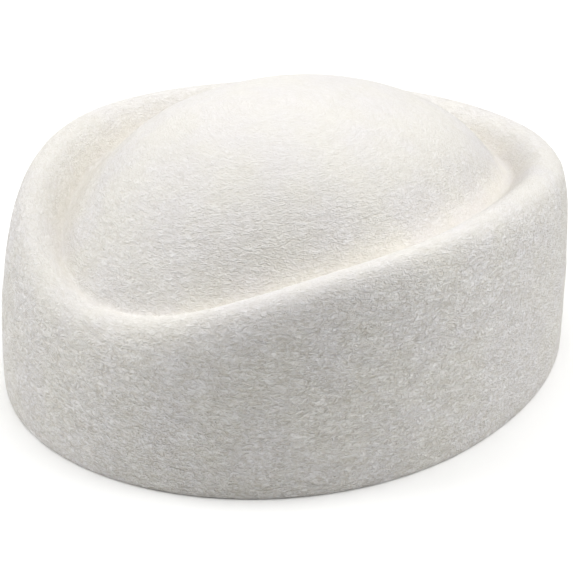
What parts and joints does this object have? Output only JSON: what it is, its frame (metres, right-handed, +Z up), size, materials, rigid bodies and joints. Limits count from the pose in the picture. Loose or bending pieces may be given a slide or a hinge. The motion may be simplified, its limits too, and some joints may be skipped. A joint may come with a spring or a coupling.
{
  "type": "pillbox hat",
  "caption": "Pillbox hat blocked in one piece from thick ivory wool felt, with a domed crown set in a trough behind a rounded fold that dips at the front.",
  "frame": {"origin": "on the surface that the hat stands on, below the middle of its overall length and width", "axes": "+Z up through the crown, -Y towards the front, where the fold dips, +X towards the wearer's left"},
  "size_m": [0.172, 0.2044, 0.0905],
  "materials": {
    "felt": "thick ivory wool felt with a short brushed nap"
  },
  "bodies": {
    "root": {"felt_body": "felt"}
  },
  "joints": []
}
